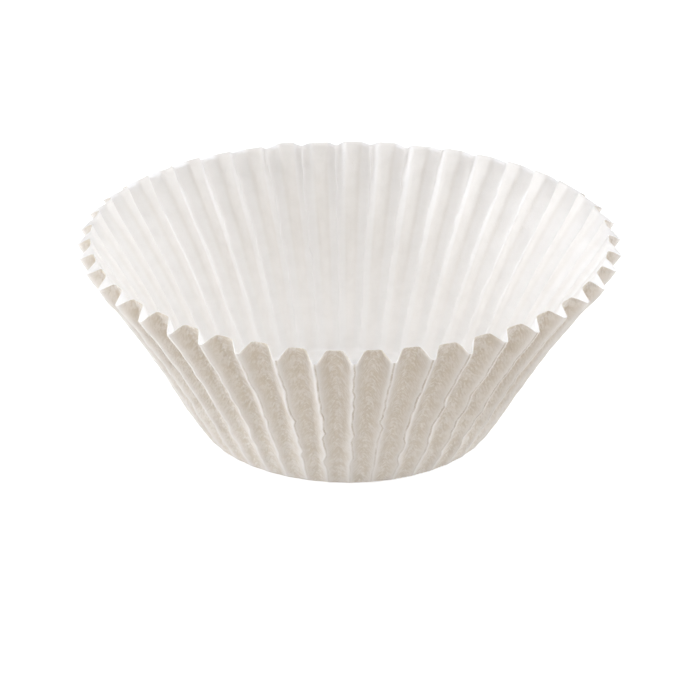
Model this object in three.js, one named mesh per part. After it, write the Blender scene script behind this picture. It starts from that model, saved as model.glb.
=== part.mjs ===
// A fluted paper candy cup: one disc of thin paper pressed in a fluted die.
// The floor stays flat. The wall leans out, so the disc has circumference to spare there, and the
// flutes take it up: wide panels on the inside, joined by steep sides to narrow ridges on the outside.
// Units are millimetres, +Z is up, and the origin is the centre of the floor's underside.
import * as THREE from "three";

// Driving dimensions
const floorDiameter = 25; // across the corner where floor and wall would meet if it were sharp
const wallLength = 19.2; // along the paper, from that corner to the rim
const wallLean = 30; // degrees that the middle of the flutes leans out from upright
const fluteCount = 44;
const paperThickness = 0.1;
const panelShareLow = 0.24; // the inner panel's share of one flute's width, at the floor
const panelShareRim = 0.44; // its share at the rim
const ridgeShare = 0.1; // the outer ridge's share
const panelBend = 0.2; // the share of a flute's side that the soft bend into the panel takes
const heelRadius = 0.4; // bend between floor and wall, at the middle of the paper
const rimSaddle = 0.35; // how much higher than level the rim's two high places stand
const rimSaddleTurn = 12; // degrees from +X to one of the high places
const paperColour = "#eeebe6";

// How finely the faces follow the curves
const heelRows = 2;
const wallRows = 6;
const rowCrowding = 1.5; // above 1 the rows crowd towards the floor, where the flutes open fastest

const floorRadius = floorDiameter / 2;
const heelTurn = THREE.MathUtils.degToRad(90 - wallLean);
const heelSetback = heelRadius * Math.tan(heelTurn / 2);
const heelArc = heelRadius * heelTurn;
const flatRadius = floorRadius - heelSetback;
const paperRun = heelArc + wallLength - heelSetback; // along the paper, from the flat floor to the rim

// The paper's middle line at a distance from the flat floor: an arc at the heel, then straight.
function middleLine(distance) {
  const turned = Math.min(distance, heelArc) / heelRadius;
  const past = Math.max(0, distance - heelArc);
  return {
    slope: turned,
    radius: flatRadius + heelRadius * Math.sin(turned) + past * Math.cos(turned),
    height: paperThickness / 2 + heelRadius * (1 - Math.cos(turned)) + past * Math.sin(turned),
  };
}

// One half of a flute's section, from the ridge's corner to the panel, offset by skin from the
// paper's middle. across is measured from the ridge's centre line and out from the wall's line.
// The paper keeps its length, so the circumference that the disc has to spare lengthens the sides.
function halfFlute(distance, radius, skin) {
  const flat = (2 * Math.PI * (flatRadius + distance)) / fluteCount;
  const width = (2 * Math.PI * radius) / fluteCount;
  const panelShare = panelShareLow + ((panelShareRim - panelShareLow) * distance) / paperRun;
  const ridgeHalf = (width * ridgeShare) / 2;
  const run = (width * (1 - panelShare - ridgeShare)) / 2;
  const side = run + Math.max(0, flat - width) / 2;
  const depth = Math.sqrt(side * side - run * run);
  const steepness = Math.atan2(depth, run);
  const corners = [
    { across: ridgeHalf, out: depth / 2, before: 0, after: steepness },
    {
      across: ridgeHalf + run * (1 - panelBend),
      out: depth * (panelBend - 0.5),
      before: steepness,
      after: steepness / 2,
    },
    { across: ridgeHalf + run + side * panelBend, out: -depth / 2, before: steepness / 2, after: 0 },
  ];
  return corners.map(({ across, out, before, after }) => {
    const mitre = skin / Math.cos((before - after) / 2);
    const facing = (before + after) / 2;
    return { across: across + mitre * Math.sin(facing), out: out + mitre * Math.cos(facing) };
  });
}

// A whole section, mirrored about the ridge, in the order of rising angle.
function wholeFlute(distance, radius, skin) {
  const after = halfFlute(distance, radius, skin);
  const before = after.map(({ across, out }) => ({ across: -across, out })).reverse();
  return [...before, ...after];
}

function rimLift(distance, turn) {
  const high = THREE.MathUtils.degToRad(rimSaddleTurn);
  return rimSaddle * (distance / paperRun) ** 2 * Math.cos(2 * (turn - high));
}

// The stations that one line round the paper passes: out under the floor, up the outside of the
// wall, over the rim and back down the inside to the centre.
function stations() {
  const distances = [];
  for (let i = 0; i <= heelRows; i++) distances.push((heelArc * i) / heelRows);
  for (let i = 1; i <= wallRows; i++) {
    distances.push(heelArc + (paperRun - heelArc) * (i / wallRows) ** rowCrowding);
  }
  const outside = distances.map((distance) => ({ distance, skin: paperThickness / 2 }));
  const inside = distances.map((distance) => ({ distance, skin: -paperThickness / 2 })).reverse();
  return [...outside, ...inside];
}

function pressedPaper() {
  const lines = stations().map((station) => ({ ...station, ...middleLine(station.distance) }));
  const sections = lines.map(({ distance, radius, skin }) => wholeFlute(distance, radius, skin));
  const corners = sections[0].length;
  const profile = [
    new THREE.Vector2(0, 0),
    ...lines.map(({ radius, height }) => new THREE.Vector2(radius, height)),
    new THREE.Vector2(0, paperThickness),
  ];
  const geometry = new THREE.LatheGeometry(profile, fluteCount * corners);
  const position = geometry.getAttribute("position");
  for (let column = 0; column <= fluteCount * corners; column++) {
    const flute = Math.floor(column / corners) % fluteCount;
    lines.forEach(({ distance, slope, radius, height }, row) => {
      const { across, out } = sections[row][column % corners];
      const turn = (2 * Math.PI * flute) / fluteCount + across / radius;
      const reach = radius + out * Math.sin(slope);
      const level = height - out * Math.cos(slope) + rimLift(distance, turn);
      const vertex = column * profile.length + row + 1;
      position.setXYZ(vertex, reach * Math.sin(turn), level, reach * Math.cos(turn));
    });
  }
  geometry.rotateX(Math.PI / 2);
  geometry.rotateZ(Math.PI / 2);
  geometry.computeVertexNormals();
  return geometry;
}

const paper = new THREE.MeshStandardMaterial({
  color: paperColour,
  roughness: 0.9,
  metalness: 0,
});

const cup = new THREE.Mesh(pressedPaper(), paper);
cup.name = "fluted_paper_cup";

const candyCup = new THREE.Group();
candyCup.add(cup);

export default candyCup;
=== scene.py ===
# %% [markdown]
# # A fluted paper candy cup
# The real cup is one disc of thin greaseproof paper, pressed while flat between two halves of a
# fluted die. The floor stays flat, and the wall rises in narrow flutes. This lesson does the same:
# a flat disc of paper is drawn, cut into rings and lines, and then pressed point by point.
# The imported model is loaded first, because it gives the size and the place of everything.

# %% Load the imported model
import math

import bpy
import numpy as np
from mathutils import Matrix, Vector


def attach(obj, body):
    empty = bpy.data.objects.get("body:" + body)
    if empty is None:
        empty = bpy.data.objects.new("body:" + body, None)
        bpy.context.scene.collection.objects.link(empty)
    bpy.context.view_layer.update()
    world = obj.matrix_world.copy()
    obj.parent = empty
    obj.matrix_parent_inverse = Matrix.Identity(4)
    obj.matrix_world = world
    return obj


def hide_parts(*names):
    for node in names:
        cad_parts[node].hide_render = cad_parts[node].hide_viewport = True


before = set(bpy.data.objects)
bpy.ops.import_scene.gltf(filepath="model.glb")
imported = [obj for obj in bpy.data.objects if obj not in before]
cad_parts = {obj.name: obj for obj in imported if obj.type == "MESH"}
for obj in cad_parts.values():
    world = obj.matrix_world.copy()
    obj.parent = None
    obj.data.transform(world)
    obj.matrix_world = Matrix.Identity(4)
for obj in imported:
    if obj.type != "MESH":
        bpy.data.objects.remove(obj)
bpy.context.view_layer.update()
MM = 0.001

# %% [markdown]
# A camera is an object like any other, so it could be placed by hand in the viewport. Here the eye
# and the point that it looks at are written down, because a picture can then be matched and
# repeated. The long lens stands well back, so the far rim is nearly as wide as the near one.

# %% Camera
eye_mm = Vector((-10.9, -285.3, 147.6))
target_mm = Vector((0.27, -0.76, 6.62))
focal_length_mm = 190.8
sensor_width_mm = 36
roll_degrees = 0.47
nearest_seen_mm = 10

camera_data = bpy.data.cameras.new("camera")
camera_data.lens = focal_length_mm
camera_data.sensor_width = sensor_width_mm
camera_data.clip_start = nearest_seen_mm * MM
camera = bpy.data.objects.new("camera", camera_data)
bpy.context.scene.collection.objects.link(camera)
facing = (target_mm - eye_mm).to_track_quat("-Z", "Y").to_matrix().to_4x4()
roll = Matrix.Rotation(math.radians(roll_degrees), 4, "Z")
camera.matrix_world = Matrix.Translation(eye_mm * MM) @ facing @ roll
bpy.context.scene.camera = camera
print("camera stands", round((target_mm - eye_mm).length), "mm away")

# %% [markdown]
# Everything about the cup follows from a few sizes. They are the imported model's, but for the paper,
# which is drawn as thin as it looks. Heights and radii are those of the middle of its thickness.
# The heel is the bend between floor and wall.

# %% Sizes of the cup, in millimetres
FLUTES = 44
FLOOR_RADIUS = 12.5
WALL_LENGTH = 19.2
WALL_LEAN = math.radians(30)
PAPER_THICKNESS = 0.07
HEEL_RADIUS = 0.4

heel_turn = math.pi / 2 - WALL_LEAN
heel_setback = HEEL_RADIUS * math.tan(heel_turn / 2)
heel_arc = HEEL_RADIUS * heel_turn
flat_radius = FLOOR_RADIUS - heel_setback
paper_run = heel_arc + WALL_LENGTH - heel_setback
print("the flat disc is", round(2 * (flat_radius + paper_run), 1), "mm across")

# %% [markdown]
# The disc needs points wherever the paper will bend. So the floor gets two rings, the heel a few,
# and the wall many, a little closer together near the floor, where the flutes open fastest. Each
# flute gets the same number of lines across. A step is a distance from the flat floor, measured
# along the paper.

# %% Rings and lines
LINES_PER_FLUTE = 18
FLOOR_RINGS = [6.0, 10.5]
HEEL_ROWS = 3
WALL_ROWS = 54
ROW_CROWDING = 1.15
lines = FLUTES * LINES_PER_FLUTE

wall_steps = [heel_arc * row / HEEL_ROWS for row in range(HEEL_ROWS)]
wall_steps += [
    heel_arc + (paper_run - heel_arc) * (row / WALL_ROWS) ** ROW_CROWDING
    for row in range(WALL_ROWS + 1)
]
ring_radii = FLOOR_RINGS + [flat_radius + step for step in wall_steps]
print(len(ring_radii), "rings of", lines, "points")

# %% [markdown]
# A circle primitive gives the first ring and fills it. Extruding its edge and growing the new edge
# makes the next ring, and so on out to the edge of the paper, just as it would be done by hand.

# %% The flat disc of paper


def leave_edit_mode_with_nothing_selected():
    if bpy.context.object and bpy.context.object.mode != "OBJECT":
        bpy.ops.object.mode_set(mode="OBJECT")
    bpy.ops.object.select_all(action="DESELECT")


leave_edit_mode_with_nothing_selected()
bpy.ops.mesh.primitive_circle_add(
    vertices=lines, radius=ring_radii[0] * MM, fill_type="TRIFAN", location=(0, 0, 0)
)
cup = bpy.context.object
cup.name = "fluted_paper_cup_pressed"
cup.data.name = cup.name
bpy.ops.object.mode_set(mode="EDIT")
bpy.ops.mesh.select_mode(type="EDGE")
bpy.ops.mesh.select_all(action="SELECT")
bpy.ops.mesh.region_to_loop()
for inner, outer in zip(ring_radii, ring_radii[1:]):
    bpy.ops.mesh.extrude_edges_move()
    bpy.ops.transform.resize(value=(outer / inner, outer / inner, 1))
bpy.ops.object.mode_set(mode="OBJECT")
print("flat disc:", len(cup.data.vertices), "points,", len(cup.data.polygons), "faces")

# %% [markdown]
# Two helpers come first. One gives a soft step from 0 to 1. The other follows the middle of the
# paper from the flat floor through the heel and up the wall, without its flutes.

# %% The wall without its flutes


def ease(low, high, x):
    t = np.clip((x - low) / (high - low), 0, 1)
    return t * t * (3 - 2 * t)


def middle_line(distance):
    turned = np.minimum(distance, heel_arc) / HEEL_RADIUS
    past = np.maximum(0, distance - heel_arc)
    radius = flat_radius + HEEL_RADIUS * np.sin(turned) + past * np.cos(turned)
    height = PAPER_THICKNESS / 2 + HEEL_RADIUS * (1 - np.cos(turned)) + past * np.sin(turned)
    return turned, radius, height


_, plain_radius, plain_height = middle_line(paper_run)
print(f"the rim is {2 * plain_radius:.1f} mm across and {plain_height:.1f} mm high")

# %% [markdown]
# Paper hardly stretches. Higher up the wall the disc has more circumference than the leaning wall
# has room for, and the flutes take up the spare. So each row's flute is found by folding: the
# paper turns at the ridge, runs straight down the side and turns back softly into the panel, and
# the one steepness is looked for at which it fits its share of the circle. Below the rim the die
# creped a part of the spare paper too finely to draw, and it pinched the ridges and held the
# panels narrow. At the cut edge the paper is free of it and opens to a scallop.

# %% One flute's section
PANEL_SHARE = 0.24
PANEL_SHARE_RIM = 0.44
RIDGE_SHARE = 0.1
RIM_ZONE = (0.84, 0.99)
SHARP_RIDGE = 0.6
CREPED = 0.25
PINCH = 0.15
RIDGE_TURN = (0.2, 1.5)
SOFT_BEND_LOW = 0.3
SOFT_BEND_RIM = 0.22
STEPS = 400
SEARCH_ROUNDS = 40
STEEPEST = math.radians(88)


def running_sum(values):
    return np.concatenate([[0], np.cumsum(values)])


def share_of_steepness(along, ridge, side, soft, below_rim):
    share = ease(ridge * RIDGE_TURN[0], ridge * RIDGE_TURN[1], along)
    share = share * (1 - ease(ridge + side - soft, ridge + side + soft, along))
    return share * (1 - PINCH * below_rim * np.clip((along - ridge) / side, 0, 1))


def steepness_that_fits(share, along, width):
    low, high = 0.0, STEEPEST
    for _ in range(SEARCH_ROUNDS):
        steepness = (low + high) / 2
        across = running_sum(np.cos(steepness * share[1:]) * np.diff(along))
        if across[-1] > width:
            low = steepness
        else:
            high = steepness
    return steepness, across


# %% [markdown]
# Half a flute is folded, from the middle of its ridge to the middle of the panel, in many small
# steps. Only ten of them become points of the mesh, and they gather where the paper bends most.

# %% Fold half a flute for each row
GATHERING = 0.5
HALF_LINES = LINES_PER_FLUTE // 2


def fold_flute(distance):
    up = distance / paper_run
    below_rim = 1 - ease(*RIM_ZONE, up)
    width = math.pi * middle_line(distance)[1] / FLUTES
    spare = math.pi * (flat_radius + distance) / FLUTES - width
    paper = width + spare * (1 - CREPED * below_rim)
    along = np.linspace(0, paper, STEPS)
    ridge = width * RIDGE_SHARE * (1 + (SHARP_RIDGE - 1) * below_rim)
    panel = width * (PANEL_SHARE + (PANEL_SHARE_RIM - PANEL_SHARE) * (1 - below_rim))
    side = paper - panel - ridge
    soft = side * (SOFT_BEND_LOW + (SOFT_BEND_RIM - SOFT_BEND_LOW) * up)
    share = share_of_steepness(along, ridge, side, soft, below_rim)
    steepness, across = steepness_that_fits(share, along, width)
    down = running_sum(np.sin(steepness * share[1:]) * np.diff(along))
    out = down[-1] / 2 - down
    gathered = running_sum(1 / STEPS + GATHERING * np.abs(np.diff(share)))
    at = np.interp(np.linspace(0, gathered[-1], HALF_LINES + 1), gathered, along)
    return at, np.interp(at, along, across), np.interp(at, along, out), math.degrees(steepness)


sections = {step: fold_flute(step) for step in wall_steps}
for step in wall_steps[:: WALL_ROWS // 4]:
    _, _, outs, lean = sections[step]
    print(f"{step:5.2f} mm up: sides lean {lean:.0f} degrees, flute {2 * outs[0]:.2f} mm deep")

# %% [markdown]
# No real cup is perfect. The ridges were pinched between two dies that don't quite meet, so they
# wander and kink, most of all in the lower half. Each flute gets its own run of random knots, with
# straight lines between them, and the seed keeps the result the same each time. The cut edge is a
# little uneven too, and ridges end a little lower than panels.

# %% Kinks and an uneven edge
KNOT_SPACING = 0.9
KNOT_JITTER = 0.3
RIDGE_KINK = 0.1
RIDGE_RISE = 0.03
RIM_UNEVEN = 0.06
RIDGE_SHORT = 0.1

random = np.random.default_rng(7)
knots_at = np.arange(-1, paper_run + 2 * KNOT_SPACING, KNOT_SPACING)


def kinked_lines(size):
    shape = (FLUTES, len(knots_at))
    jitter = random.uniform(-KNOT_JITTER, KNOT_JITTER, shape) * KNOT_SPACING
    return knots_at + jitter, random.normal(0, size, shape)


def along_knots(places, values, flute, distance):
    found = np.zeros(len(distance))
    for k in range(FLUTES):
        here = flute == k
        found[here] = np.interp(distance[here], places[k], values[k])
    return found


kink_places, kink_values = kinked_lines(RIDGE_KINK)
rise_places, rise_values = kinked_lines(RIDGE_RISE)
panel_rise = random.normal(0, RIM_UNEVEN, FLUTES)
ridge_rise = random.normal(0, RIM_UNEVEN, FLUTES)
print("largest kink:", round(float(np.abs(kink_values).max()), 2), "mm")

# %% [markdown]
# Pressing needs to know where each point of the flat disc belongs: on which ring, on which line,
# in which flute and on which side of its ridge. All of that follows from the point's place.

# %% Sort the points of the disc


def read_points(mesh):
    points = np.zeros(len(mesh.vertices) * 3)
    mesh.vertices.foreach_get("co", points)
    return points.reshape(-1, 3) / MM


flat = read_points(cup.data)
flat_distance = np.hypot(flat[:, 0], flat[:, 1])
flat_turn = np.arctan2(flat[:, 1], flat[:, 0])
ring = np.abs(flat_distance[:, None] - np.array([0, *ring_radii])).argmin(axis=1)
on_wall = ring > len(FLOOR_RINGS)
line = np.rint(flat_turn / (2 * math.pi) * lines).astype(int)
flute = np.rint(line / LINES_PER_FLUTE).astype(int)
panel_number = (line // LINES_PER_FLUTE) % FLUTES
lines_from_ridge = line - flute * LINES_PER_FLUTE
flute = flute % FLUTES
side_of_ridge = np.sign(lines_from_ridge)
print(int(on_wall.sum()), "of", len(flat), "points are on the wall")

# %% [markdown]
# Now every point on the wall looks up its place in its row's section. The share of the way from
# ridge to panel is kept, because kinks, edge and colours all depend on it.

# %% Look up each point's place in its flute
distance, from_ridge, from_panel, across, out = np.zeros((5, len(flat)))
for row, step in enumerate(wall_steps):
    here = ring == len(FLOOR_RINGS) + 1 + row
    place = np.abs(lines_from_ridge[here])
    at, acrosses, outs, _ = sections[step]
    distance[here] = step
    from_ridge[here] = at[place]
    from_panel[here] = at[-1] - at[place]
    across[here] = acrosses[place] * side_of_ridge[here]
    out[here] = outs[place]

ridge_share = from_ridge / np.maximum(from_ridge + from_panel, 1e-6)
up = distance / paper_run
half_flute = round(float((from_ridge + from_panel).max()), 2)
print("at the rim, half a flute holds", half_flute, "mm of paper")

# %% [markdown]
# The kinks are strongest at the ridge and low on the wall. In the photo they fade towards the rim
# on the near side, and go on up to it on the far side.

# %% Add the kinks
KINKED_SHARE = 0.62
KINKS_START = (0.5, 3.0)
KINKS_FADE = (9.0, 18.0)

centre_turn = 2 * math.pi * flute / FLUTES
nearness = 0.5 - 0.5 * np.sin(centre_turn)
near_ridge = 1 - ease(0.0, KINKED_SHARE, ridge_share)
low_wall = ease(*KINKS_START, distance) * (1 - 0.6 * nearness * ease(*KINKS_FADE, distance))
kinked = near_ridge * low_wall * (0.65 + 0.5 * nearness)
across += along_knots(kink_places, kink_values, flute, distance) * kinked
out += along_knots(rise_places, rise_values, flute, distance) * kinked
uneven = np.where(ridge_share > 0.5, panel_rise[panel_number], 0) * ease(0.4, 0.8, ridge_share)
uneven += (ridge_rise[flute] - RIDGE_SHORT) * (1 - ease(0.1, 0.5, ridge_share))
print("kinks reach", round(float(kinked.max()), 2), "of their full size on the near side")

# %% [markdown]
# A cup that has been handled isn't quite round or level. Its rim is a gentle saddle, leans a little
# and has a hint of three sides, its wall is slightly hollow, and it flares at the left and right.
# The flutes aren't quite evenly spaced either, which a few slow waves round the cup give. One wave
# is written as its count of swings, its size as a share of a flute, and its start.

# %% Press the disc
SPACING_WAVES = [(1, 0.026, 0.0), (3, -0.05, 0.0), (4, 0.02, 2.6)]
RIM_SADDLE = 0.35
RIM_SADDLE_TURN = math.radians(12)
RIM_TILT = -0.17
RIM_THREE_SIDED = 0.2
WALL_HOLLOW = 0.24
HOLLOW_BEGINS = (0.1, 0.45)
HOLLOW_ENDS = (0.55, 0.85)
RIM_FLARE = 0.35
FLARE_ZONE = (0.8, 0.97)
EDGE_ZONE = (0.8, 1.0)

slope, radius, height = middle_line(distance)
shift = sum(size * np.sin(count * centre_turn + start) for count, size, start in SPACING_WAVES)
turn = centre_turn + shift * 2 * math.pi / FLUTES + across / radius
radius = radius + out * np.sin(slope) + RIM_THREE_SIDED * up**2 * np.cos(3 * turn)
radius -= WALL_HOLLOW * (ease(*HOLLOW_BEGINS, up) - ease(*HOLLOW_ENDS, up))
radius += RIM_FLARE * ease(*FLARE_ZONE, up) * np.cos(turn) ** 2
height = height - out * np.cos(slope)
height += up**2 * RIM_SADDLE * np.cos(2 * (turn - RIM_SADDLE_TURN))
height += up**2 * RIM_TILT * np.sin(turn) + uneven * ease(*EDGE_ZONE, up)

pressed = np.stack([radius * np.cos(turn), radius * np.sin(turn), height], axis=1)
resting = np.stack([flat[:, 0], flat[:, 1], np.full(len(flat), PAPER_THICKNESS / 2)], axis=1)
pressed = np.where(on_wall[:, None], pressed, resting)
cup.data.vertices.foreach_set("co", (pressed * MM).ravel())
print(f"rim: {pressed[:, 2].max():.2f} mm high, {radius.max() * 2:.2f} mm across")

# %% [markdown]
# The paper's pattern follows its flutes, so the numbers are kept on the mesh as attributes, which
# a material can read. The ripples lean away from the middle of each panel like the barbs of a
# feather, so their coordinates are slanted, and shifted from one panel to the next. The crease lies
# just beside the ridge, on its side towards the front of the cup. As in the photo, it fades out to
# the left, and nearly so on the far right.

# %% Keep what the pattern needs
BARB_SLANT = 0.9
PATTERN_SHIFT = 3.7
CREASE_SHIFT = 0.08


def keep_attribute(name, kind, values):
    attribute = cup.data.attributes.new(name, kind, "POINT")
    field = "vector" if kind == "FLOAT_VECTOR" else "value"
    attribute.data.foreach_set(field, np.ascontiguousarray(values, dtype=np.float32).ravel())


to_the_right = np.cos(turn)
# The crease's painted shade sits beside the ridge, on its side towards the front of the cup.
off_crease = from_ridge * side_of_ridge + CREASE_SHIFT * np.tanh(3 * to_the_right)
# Where the crease's painted shade shows: it fades out to the left, and nearly so on the far right.
crease_shaded = ease(-0.75, -0.1, to_the_right) * (1 - 0.8 * ease(0.6, 0.9, to_the_right))
slanted = distance + BARB_SLANT * from_panel
barbs = np.stack([-from_panel * side_of_ridge, slanted, PATTERN_SHIFT * panel_number], axis=1)
keep_attribute("off_crease_mm", "FLOAT", off_crease)
keep_attribute("crease_shaded", "FLOAT", crease_shaded)
keep_attribute("ridge_share", "FLOAT", ridge_share)
keep_attribute("on_wall_mm", "FLOAT", distance)
keep_attribute("barbs_mm", "FLOAT_VECTOR", barbs)
keep_attribute("flat_mm", "FLOAT_VECTOR", flat)
cup.data.update()
print(len(cup.data.attributes), "attributes on the mesh")

# %% [markdown]
# The sheet still has no thickness. Solidify gives it both faces and the cut edge, half to each
# side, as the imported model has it. Shading is smooth, because soft paper has no facets. Solidify
# lists one face's points first, and the height of the floor tells which face that is.

# %% Give the paper its thickness
leave_edit_mode_with_nothing_selected()
cup.select_set(True)
bpy.context.view_layer.objects.active = cup
bpy.ops.object.mode_set(mode="EDIT")
bpy.ops.mesh.select_all(action="SELECT")
bpy.ops.mesh.normals_make_consistent(inside=False)
bpy.ops.object.mode_set(mode="OBJECT")
middle_count = len(cup.data.vertices)
thickness = cup.modifiers.new("paper thickness", "SOLIDIFY")
thickness.thickness = PAPER_THICKNESS * MM
thickness.offset = 0
thickness.use_even_offset = False
bpy.ops.object.modifier_apply(modifier=thickness.name)
bpy.ops.object.shade_smooth()

both_faces = read_points(cup.data)
first_face = np.arange(len(both_faces)) < middle_count
on_floor = np.hypot(both_faces[:, 0], both_faces[:, 1]) < FLOOR_RINGS[0]
first_height = both_faces[on_floor & first_face, 2].mean()
second_height = both_faces[on_floor & ~first_face, 2].mean()
first_is_inside = first_height > second_height
keep_attribute("inside", "FLOAT", first_face == first_is_inside)
print("cup:", len(cup.data.polygons), "faces, first face inside:", bool(first_is_inside))

# %% [markdown]
# A colour picked on screen is written in sRGB, but Blender's shaders reckon in linear light, so one
# function turns the hex code to linear. One more adds a node, sets it and links it.

# %% Helpers for materials


def linear(hex_code):
    channels = [int(hex_code[i : i + 2], 16) / 255 for i in (1, 3, 5)]
    return [c / 12.92 if c <= 0.04045 else ((c + 0.055) / 1.055) ** 2.4 for c in channels] + [1]


def add_node(tree, kind, sockets=None, **settings):
    node = tree.nodes.new(kind)
    for name, value in settings.items():
        setattr(node, name, value)
    for name, value in (sockets or {}).items():
        if isinstance(value, bpy.types.NodeSocket):
            tree.links.new(value, node.inputs[name])
        else:
            node.inputs[name].default_value = value
    return node


def new_material(name):
    material = bpy.data.materials.new(name)
    material.use_nodes = True
    material.node_tree.nodes.clear()
    return material, material.node_tree


print("half grey on screen is", round(linear("#808080")[0], 3), "in linear light")

# %% [markdown]
# The paper's material needs only five kinds of node: an attribute, a sum, a noise, a ramp and a
# blend of two colours. A function for each keeps the cells that follow short.

# %% Nodes for the paper
greaseproof, paper_tree = new_material("greaseproof paper")


def attribute(name, output="Fac"):
    return add_node(paper_tree, "ShaderNodeAttribute", attribute_name=name).outputs[output]


def calculate(operation, a, b):
    return add_node(paper_tree, "ShaderNodeMath", {0: a, 1: b}, operation=operation).outputs[0]


def noise(vector, size_mm, detail, roughness=0.5):
    sockets = {"Vector": vector, "Scale": 1 / size_mm, "Detail": detail, "Roughness": roughness}
    return add_node(paper_tree, "ShaderNodeTexNoise", sockets).outputs["Fac"]


def ramp(value, low, high, to_low=0.0, to_high=1.0):
    sockets = {"Value": value, 1: low, 2: high, 3: to_low, 4: to_high}
    node = add_node(
        paper_tree, "ShaderNodeMapRange", sockets, interpolation_type="SMOOTHSTEP"
    )
    return node.outputs["Result"]


def blend(factor, a, b, how="MIX"):
    sockets = {"Factor": factor, "A": a, "B": b}
    node = add_node(paper_tree, "ShaderNodeMix", sockets, data_type="RGBA", blend_type=how)
    return node.outputs["Result"]


# %% [markdown]
# Greaseproof paper is beaten cellulose pulp, pressed hard so that it has few pores. Its fibres are
# bunched in soft clouds about a millimetre wide, with a fine grain. Both are laid out on the flat
# disc, as in the real sheet, so pressing carries them along. The ripples use their slanted
# coordinates instead.

# %% Fibre, grain and ripples
CLOUD_SIZE_MM = 1.1
RIPPLE_SPACING_MM = 0.27
GRAIN_SIZE_MM = 0.14

inside = attribute("inside")
share = attribute("ridge_share")
on_wall_mm = attribute("on_wall_mm")
flat_mm = attribute("flat_mm", "Vector")
clouds = noise(flat_mm, CLOUD_SIZE_MM, 4, 0.65)
grain = noise(flat_mm, GRAIN_SIZE_MM, 2)
ripples = noise(attribute("barbs_mm", "Vector"), RIPPLE_SPACING_MM, 3, 0.6)
print("clouds, grain and ripples:", CLOUD_SIZE_MM, GRAIN_SIZE_MM, RIPPLE_SPACING_MM, "mm")

# %% [markdown]
# The outer face is the same paper as the inner one. It is painted darker and browner, as shade and as
# the warm light passed through the paper. The middle of each panel gets the most painted shade, brown
# in blotches. Pale flecks of painted highlight sit where the ripples stand up, and the shade is
# browner near the rim than near the floor. The sides stay smooth and plainer, and the ridges are
# palest.

# %% Colour of the outer face
PANEL_LOW = linear("#e1dad1")
PANEL_HIGH = linear("#d6cdc2")
SHADE_BROWN_LOW = linear("#d1c4b1")
SHADE_BROWN_HIGH = linear("#c3b299")
FLECK_HIGHLIGHT = linear("#f3efe8")
FLECK_HIGHLIGHT_STRENGTH = 0.4
RIDGE = linear("#e5e1dc")

# Painted shade: the panels darken towards the rim and brown in blotches in their middles.
up_wall = ramp(on_wall_mm, 1.0, 17.0)
shade_blotches = ramp(calculate("ADD", clouds, ripples), 0.85, 1.15, 1.0, 0.1)
panel_shade = calculate("MULTIPLY", ramp(share, 0.08, 0.65), shade_blotches)
shade_brown = blend(up_wall, SHADE_BROWN_LOW, SHADE_BROWN_HIGH)
panel_tint = blend(panel_shade, blend(up_wall, PANEL_LOW, PANEL_HIGH), shade_brown)

# Painted highlight: pale flecks on the ripples where they stand up.
fleck_highlights = calculate("MULTIPLY", ramp(share, 0.45, 0.8), ramp(ripples, 0.54, 0.68))
panel_tint = blend(calculate("MULTIPLY", fleck_highlights, FLECK_HIGHLIGHT_STRENGTH), panel_tint, FLECK_HIGHLIGHT)

soft_clouds = calculate("MULTIPLY", calculate("SUBTRACT", clouds, 0.5), 0.5)
mottle = ramp(calculate("ADD", ripples, soft_clouds), 0.36, 0.64, 0.95, 1.03)
panel_tint = blend(1.0, panel_tint, mottle, "MULTIPLY")
pressed_flat = ramp(share, 0.02, 0.3)
outside_tint = blend(pressed_flat, RIDGE, panel_tint)
print("outer face:", len(paper_tree.nodes), "nodes so far")

# %% [markdown]
# Along each ridge, a thin dark line of painted shade stands for the shadow in the pinched fold. It is
# frayed by the grain, fades towards the floor and comes and goes with the clouds.

# %% Painted shade along each ridge
CREASE_WIDTH_MM = 0.14
CREASE_FRAY_MM = 0.16
# Colour of the painted shade in the crease.
CREASE_SHADE = linear("#a89883")

from_crease = calculate("ABSOLUTE", attribute("off_crease_mm"), 0)
frayed = calculate("MULTIPLY", calculate("SUBTRACT", grain, 0.5), CREASE_FRAY_MM)
from_crease = calculate("ADD", from_crease, frayed)
crease_shade = ramp(from_crease, CREASE_WIDTH_MM * 0.25, CREASE_WIDTH_MM * 0.65, 1.0, 0.0)
faint_low = ramp(on_wall_mm, 0.0, 10.0, 0.35, 1.0)
faint_in_places = ramp(clouds, 0.35, 0.6, 0.35, 1.0)
fading = calculate("MULTIPLY", faint_low, faint_in_places)
crease_shade = calculate("MULTIPLY", calculate("MULTIPLY", crease_shade, fading), attribute("crease_shaded"))
outside_tint = blend(crease_shade, outside_tint, CREASE_SHADE)
print("crease about", CREASE_WIDTH_MM, "mm wide")

# %% [markdown]
# The inner face stays nearly white. Its panels are painted a little greyer than the sides, as shade,
# and greyer higher up the wall, and the clouds show faintly.

# %% Colour of the inner face
INNER_LOW = linear("#f7f5f3")
INNER_PANEL_SHADE = linear("#ebe8e4")
INNER_SIDE = linear("#f7f6f5")

# Painted shade: the inner panels are greyer than the sides and greyer higher up the wall.
inside_panel_shade = blend(ramp(on_wall_mm, 2.0, 13.0), INNER_LOW, INNER_PANEL_SHADE)
inside_tint = blend(ramp(share, 0.5, 0.75), INNER_SIDE, inside_panel_shade)
inside_tint = blend(1.0, inside_tint, ramp(clouds, 0.3, 0.65, 0.95, 1.0), "MULTIPLY")
tint = blend(inside, outside_tint, inside_tint)
print("both faces:", len(paper_tree.nodes), "nodes so far")

# %% [markdown]
# Thin paper lets light through, so a part of its light is passed on by a translucent shader, a
# little warmer where it leaves the outer face. The rest is reflected. Loose fibres catch light
# that grazes the sheet, which a sheen gives. The ripples stand up on the outer panels, and show
# only faintly inside.

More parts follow.
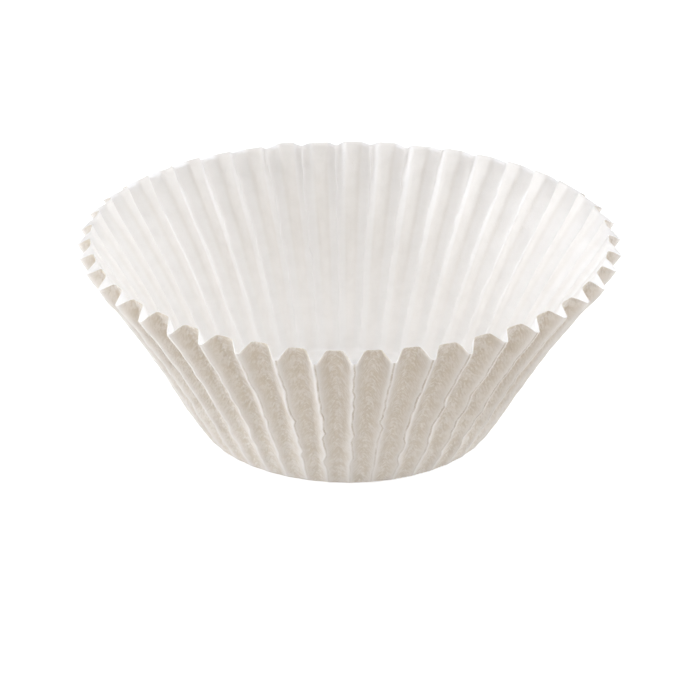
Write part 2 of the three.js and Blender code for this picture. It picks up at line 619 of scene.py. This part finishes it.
# %% The sheet itself
PASSED_SHARE = 0.42
GRAIN_HEIGHT_MM = 0.03
RIPPLE_HEIGHT_MM = 0.11
RIPPLES_INSIDE = 0.25
PASSED_OUT = linear("#f6efe6")
PASSED_IN = linear("#ffffff")

grain_bump = add_node(
    paper_tree,
    "ShaderNodeBump",
    {"Height": grain, "Strength": 0.5, "Distance": GRAIN_HEIGHT_MM * MM},
)
ripple_strength = calculate("MULTIPLY", pressed_flat, ramp(inside, 0, 1, 1.0, RIPPLES_INSIDE))
ripple_bump = add_node(
    paper_tree,
    "ShaderNodeBump",
    {
        "Height": ripples,
        "Strength": ripple_strength,
        "Distance": RIPPLE_HEIGHT_MM * MM,
        "Normal": grain_bump.outputs["Normal"],
    },
)
reflected = add_node(
    paper_tree,
    "ShaderNodeBsdfPrincipled",
    {
        "Base Color": tint,
        "Roughness": 0.7,
        "IOR": 1.5,
        "Specular IOR Level": 0.3,
        "Sheen Weight": 0.5,
        "Sheen Roughness": 0.4,
        "Normal": ripple_bump.outputs["Normal"],
    },
)
passed = add_node(
    paper_tree,
    "ShaderNodeBsdfTranslucent",
    {"Color": blend(inside, PASSED_OUT, PASSED_IN), "Normal": ripple_bump.outputs["Normal"]},
)
sheet = add_node(
    paper_tree,
    "ShaderNodeMixShader",
    {"Fac": PASSED_SHARE, 1: reflected.outputs[0], 2: passed.outputs[0]},
)
add_node(paper_tree, "ShaderNodeOutputMaterial", {"Surface": sheet.outputs[0]})
print("greaseproof paper:", len(paper_tree.nodes), "nodes")

# %% [markdown]
# The dressed cup now takes the place of the plain one. It has no joints, so it rides on the root.

# %% Dress the cup
cup.data.materials.clear()
cup.data.materials.append(greaseproof)
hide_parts("fluted_paper_cup")
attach(cup, "root")
print(cup.name, "replaces fluted_paper_cup")

# %% [markdown]
# The floor is a plain white sweep. It glows a little by itself, and for rays straight from the
# camera enough to reach paper white. So the cup is hardly lit more for it, and it still shows the
# cup's shadow.

# %% Floor
FLOOR_SIZE = 3.0
CARD = linear("#e6e6e6")
GLOW = 0.055
GLOW_SEEN_BY_CAMERA = 0.45
WHITE = (1, 1, 1, 1)

leave_edit_mode_with_nothing_selected()
bpy.ops.mesh.primitive_plane_add(size=FLOOR_SIZE, location=(0, 0, 0))
floor = bpy.context.object
floor.name = "floor"
white_sweep, floor_tree = new_material("white card sweep")
path = add_node(floor_tree, "ShaderNodeLightPath")
lift = add_node(
    floor_tree,
    "ShaderNodeMath",
    {0: path.outputs["Is Camera Ray"], 1: GLOW_SEEN_BY_CAMERA, 2: GLOW},
    operation="MULTIPLY_ADD",
)
card = add_node(floor_tree, "ShaderNodeBsdfDiffuse", {"Color": CARD})
glow = add_node(
    floor_tree, "ShaderNodeEmission", {"Color": WHITE, "Strength": lift.outputs[0]}
)
both = add_node(floor_tree, "ShaderNodeAddShader", {0: card.outputs[0], 1: glow.outputs[0]})
add_node(floor_tree, "ShaderNodeOutputMaterial", {"Surface": both.outputs[0]})
floor.data.materials.append(white_sweep)
print("floor:", FLOOR_SIZE, "m square")

# %% [markdown]
# A light tent is never quite dark, so the world gives a faint light from all round. The camera
# sees plain white behind the floor.

# %% Light tent
TENT_STRENGTH = 0.04
BACKDROP_STRENGTH = 1.0

world = bpy.data.worlds.new("light tent")
bpy.context.scene.world = world
world.use_nodes = True
world_tree = world.node_tree
world_tree.nodes.clear()
path = add_node(world_tree, "ShaderNodeLightPath")
tent = add_node(
    world_tree, "ShaderNodeBackground", {"Color": WHITE, "Strength": TENT_STRENGTH}
)
backdrop = add_node(
    world_tree, "ShaderNodeBackground", {"Color": WHITE, "Strength": BACKDROP_STRENGTH}
)
seen = add_node(
    world_tree,
    "ShaderNodeMixShader",
    {"Fac": path.outputs["Is Camera Ray"], 1: tent.outputs[0], 2: backdrop.outputs[0]},
)
add_node(world_tree, "ShaderNodeOutputWorld", {"Surface": seen.outputs[0]})
print("tent light:", TENT_STRENGTH)

# %% [markdown]
# In the photo the sides of the flutes that look to the left or right are brightest, outside and
# inside, and the near panels are darkest. So two small low lamps graze the outer flutes from the
# sides, a little cooler than the rest, and two broad high ones a little further back do the same
# inside. A broad lamp above the camera fills the cup, and one overhead lifts its floor.

# %% Lamps
LAMP_AIM = Vector((0, 0, 8))
WHITE_LAMP = (0.97, 0.98, 1.0)
COOL_LAMP = (0.8, 0.88, 1.0)
SMALL = (160, 200)
BROAD = (320, 320)
WIDEST = (500, 400)


def soft_lamp(name, place_mm, size_mm, watts, colour):
    lamp = bpy.data.lights.new(name, "AREA")
    lamp.color = colour
    lamp.shape = "RECTANGLE"
    lamp.size = size_mm[0] * MM
    lamp.size_y = size_mm[1] * MM
    lamp.energy = watts
    holder = bpy.data.objects.new(name, lamp)
    bpy.context.scene.collection.objects.link(holder)
    place = Vector(place_mm) * MM
    to_cup = (LAMP_AIM * MM - place).to_track_quat("-Z", "Y").to_matrix().to_4x4()
    holder.matrix_world = Matrix.Translation(place) @ to_cup
    print(f"{name}: {watts} W")


soft_lamp("low left lamp", (-413, -73, 60), SMALL, 1.65, COOL_LAMP)
soft_lamp("low right lamp", (418, 37, 60), SMALL, 1.25, COOL_LAMP)
soft_lamp("high left lamp", (-320, 80, 300), BROAD, 0.78, WHITE_LAMP)
soft_lamp("high right lamp", (320, 80, 300), BROAD, 0.8, WHITE_LAMP)
soft_lamp("front lamp", (0, -320, 330), WIDEST, 1.52, WHITE_LAMP)
soft_lamp("top lamp", (0, 60, 450), BROAD, 0.7, WHITE_LAMP)

# %% [markdown]
# The file ends by setting the Standard view transform.

# %% Finish
bpy.context.scene.view_settings.view_transform = "Standard"
